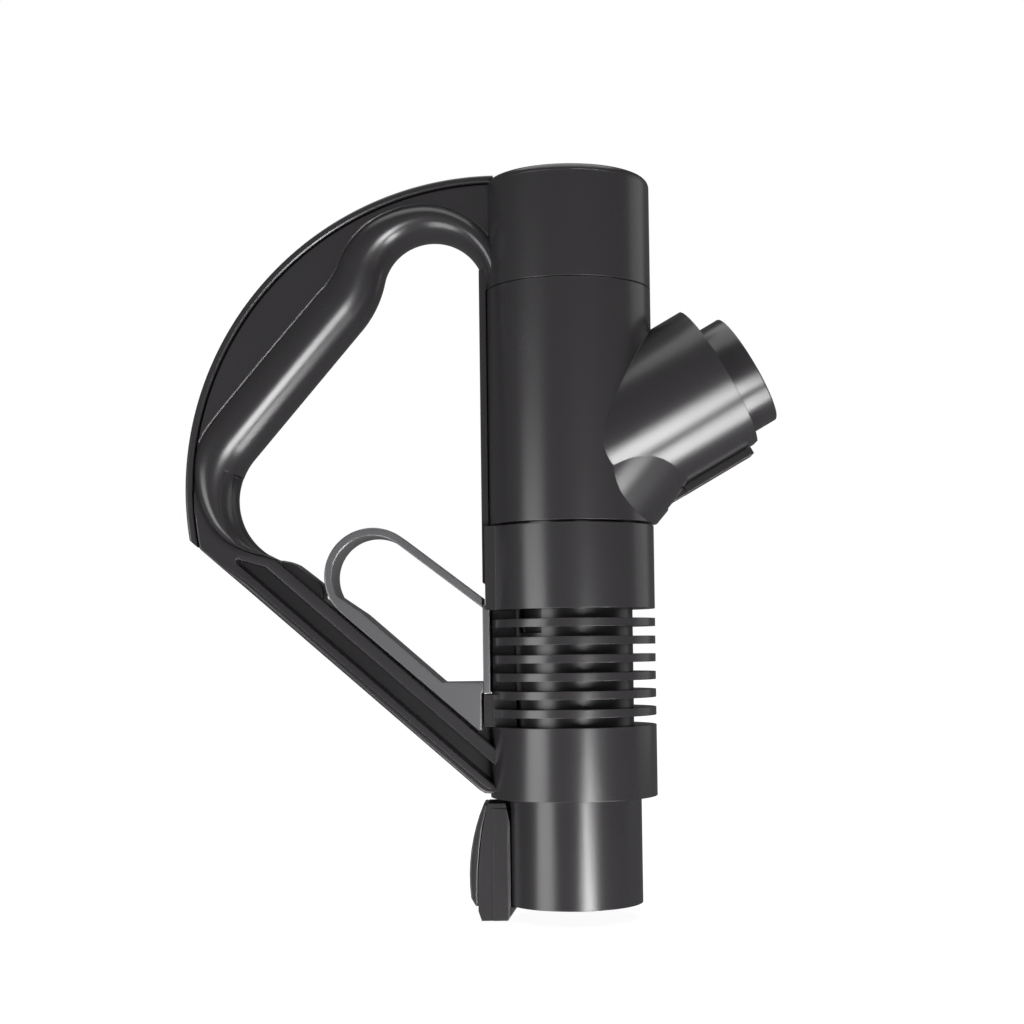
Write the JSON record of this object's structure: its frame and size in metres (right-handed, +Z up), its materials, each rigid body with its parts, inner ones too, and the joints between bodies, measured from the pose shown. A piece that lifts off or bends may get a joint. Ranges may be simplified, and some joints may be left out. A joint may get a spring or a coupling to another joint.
{
  "type": "suction cleaner wand handle",
  "caption": "D-shaped wand handle for a cylinder suction cleaner: tube column with vent fins, swivelling hose branch, sprung trigger loop and sprung wand catch.",
  "frame": {"origin": "centre of the wand socket's mouth, on the column axis", "axes": "+Z up the column axis, away from the wand; -X towards the grip; +X towards the hose branch; -Y towards the side the picture shows"},
  "size_m": [0.184, 0.052, 0.2319],
  "materials": {
    "body": "gloss",
    "dark": "satin",
    "trigger": "metallic satin",
    "rubber": "matt",
    "steel": "bright"
  },
  "bodies": {
    "handle": {"handle_frame": "body", "spine_cover": "body", "grip_inlay": "dark", "top_cap": "body", "upper_collar": "body", "rear_rail": "body", "vent_collar": "body", "vent_grille": "body", "lower_collar": "body", "wand_socket": "body", "inner_duct": "dark", "socket_seal": "rubber", "swivel_seals": "rubber", "handle_screws": "steel", "trigger_spring": "steel", "catch_pin": "steel", "catch_spring": "steel"},
    "branch": {"branch_housing": "body", "spigot_retainer": "body", "spigot_seal": "rubber", "latch_pin": "steel", "latch_spring": "steel"},
    "hose_cuff": {"hose_spigot": "body"},
    "latch": {"hose_latch": "dark"},
    "trigger": {"trigger_loop": "trigger", "trigger_slider": "trigger", "valve_sleeve": "dark", "valve_seals": "rubber"},
    "catch": {"catch_lever": "body", "catch_pad": "body"}
  },
  "joints": [
    {"name": "branch_swivel", "type": "hinge", "parent": "handle", "child": "branch", "pos_m": [0, 0, 0.154], "axis": [0, 0, 1], "range_deg": [-80, 80]},
    {"name": "cuff_swivel", "type": "hinge", "parent": "branch", "child": "hose_cuff", "pos_m": [0.0444, 0, 0.15899], "axis": [0.866, 0, 0.5], "continuous": true},
    {"name": "latch_pivot", "type": "hinge", "parent": "branch", "child": "latch", "pos_m": [0.03095, 0, 0.12629], "axis": [0, 1, 0], "range_deg": [0, 10], "stiffness_Nm_per_rad": 0.03, "springref_deg": -14.32},
    {"name": "trigger_slide", "type": "slide", "parent": "handle", "child": "trigger", "axis": [0, 0, 1], "range_m": [0, 0.006], "stiffness_N_per_m": 500, "springref_m": -0.01, "deforming": ["trigger_spring"]},
    {"name": "catch_pivot", "type": "hinge", "parent": "handle", "child": "catch", "pos_m": [-0.0242, 0, 0.026], "axis": [0, 1, 0], "range_deg": [0, 8], "stiffness_Nm_per_rad": 0.08, "springref_deg": -17.19}
  ]
}
